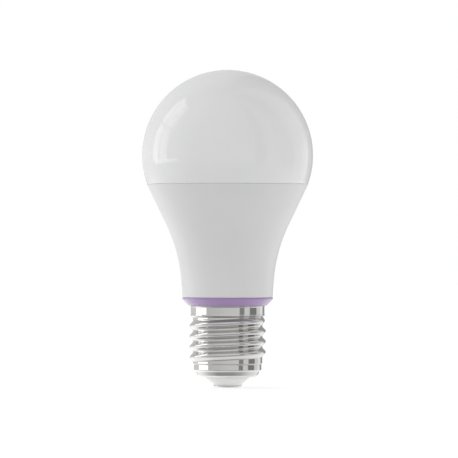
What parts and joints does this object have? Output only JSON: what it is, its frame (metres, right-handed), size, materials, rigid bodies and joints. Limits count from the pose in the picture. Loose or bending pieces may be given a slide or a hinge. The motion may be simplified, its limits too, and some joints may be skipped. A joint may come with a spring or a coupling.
{
  "type": "smart light bulb",
  "caption": "Standard-shape smart light bulb: opal dome on a white flared housing, purple trim ring, E27 screw cap, with its light engine, driver and radio inside.",
  "frame": {"origin": "middle of the centre contact's lower face, the lowest point of the bulb", "axes": "+Z along the bulb's axis, from the contact to the top of the dome; -Y is the side that is seen from the front; X is across"},
  "size_m": [0.059, 0.059, 0.1096],
  "materials": {
    "opal_plastic": "opal polycarbonate, semi-gloss",
    "white_plastic": "fine satin, moulded over aluminium",
    "purple_plastic": "satin moulded plastic",
    "nickel_plate": "nickel-plated brass sheet, satin-bright",
    "insulator_plastic": "white thermoset plastic, semi-gloss",
    "white_silicone": "cured silicone",
    "spun_aluminium": "spun and washed, with turning marks",
    "liner_plastic": "natural moulded plastic",
    "brown_pvc": "extruded wire cover",
    "blue_pvc": "extruded wire cover",
    "copper": "drawn or etched copper",
    "enamelled_copper": "lacquered winding wire",
    "thermal_compound": "filled silicone paste",
    "white_metal_board": "aluminium core under white solder mask",
    "screw_steel": "zinc-plated steel",
    "led_package": "white moulded package",
    "warm_phosphor": "phosphor in silicone",
    "cool_phosphor": "phosphor in silicone",
    "clear_silicone": "clear silicone",
    "led_die": "semiconductor die",
    "chip_black": "moulded epoxy",
    "connector_plastic": "moulded nylon",
    "tinned_metal": "tinned",
    "solder": "reflowed and wave solder",
    "driver_laminate": "glass-fibre board with green mask",
    "radio_laminate": "glass-fibre board with dark mask",
    "capacitor_aluminium": "drawn can",
    "capacitor_sleeve": "shrink sleeve",
    "film_capacitor_case": "moulded case",
    "varistor_coating": "dipped epoxy",
    "resistor_coating": "cement coating",
    "ferrite": "sintered and ground",
    "bobbin_plastic": "phenolic moulding",
    "winding_tape": "polyester tape over wire",
    "chip_resistor": "glazed chip",
    "chip_capacitor": "sintered chip"
  },
  "bodies": {
    "root": {"diffuser": "opal_plastic", "diffuser_sealant": "white_silicone", "housing": "white_plastic", "trim_ring": "purple_plastic", "heat_sink_cup": "spun_aluminium", "insulating_liner": "liner_plastic", "screw_shell": "nickel_plate", "base_insulator": "insulator_plastic", "centre_contact": "nickel_plate", "live_lead_conductor": "copper", "live_lead_insulation": "brown_pvc", "neutral_lead_conductor": "copper", "neutral_lead_insulation": "blue_pvc", "heat_spreader_plate": "spun_aluminium", "thermal_paste": "thermal_compound", "led_board": "white_metal_board", "led_board_screws": "screw_steel", "warm_white_led_bodies": "led_package", "warm_white_led_phosphors": "warm_phosphor", "cool_white_led_bodies": "led_package", "cool_white_led_phosphors": "cool_phosphor", "rgb_led_bodies": "led_package", "rgb_led_dies": "led_die", "rgb_led_lenses": "clear_silicone", "temperature_sensor": "chip_black", "led_socket": "connector_plastic", "led_pins": "tinned_metal", "driver_board": "driver_laminate", "solder_joints": "solder", "input_capacitor_can": "capacitor_aluminium", "input_capacitor_sleeve": "capacitor_sleeve", "input_capacitor_leads": "tinned_metal", "output_capacitor_can": "capacitor_aluminium", "output_capacitor_sleeve": "capacitor_sleeve", "output_capacitor_leads": "tinned_metal", "film_capacitor": "film_capacitor_case", "film_capacitor_leads": "tinned_metal", "varistor": "varistor_coating", "varistor_leads": "tinned_metal", "fusible_resistor": "resistor_coating", "fusible_resistor_leads": "tinned_metal", "choke_core": "ferrite", "choke_winding": "enamelled_copper", "transformer_core": "ferrite", "transformer_bobbin": "bobbin_plastic", "transformer_winding": "winding_tape", "transformer_pins": "tinned_metal", "bridge_rectifier": "chip_black", "switching_controller": "chip_black", "rectifier_diodes": "chip_black", "voltage_regulator": "chip_black", "chip_resistors": "chip_resistor", "chip_capacitors": "chip_capacitor", "radio_board": "radio_laminate", "radio_pins": "tinned_metal", "radio_chip": "chip_black", "radio_crystal": "tinned_metal", "radio_shield": "tinned_metal", "radio_antenna": "copper"}
  },
  "joints": []
}
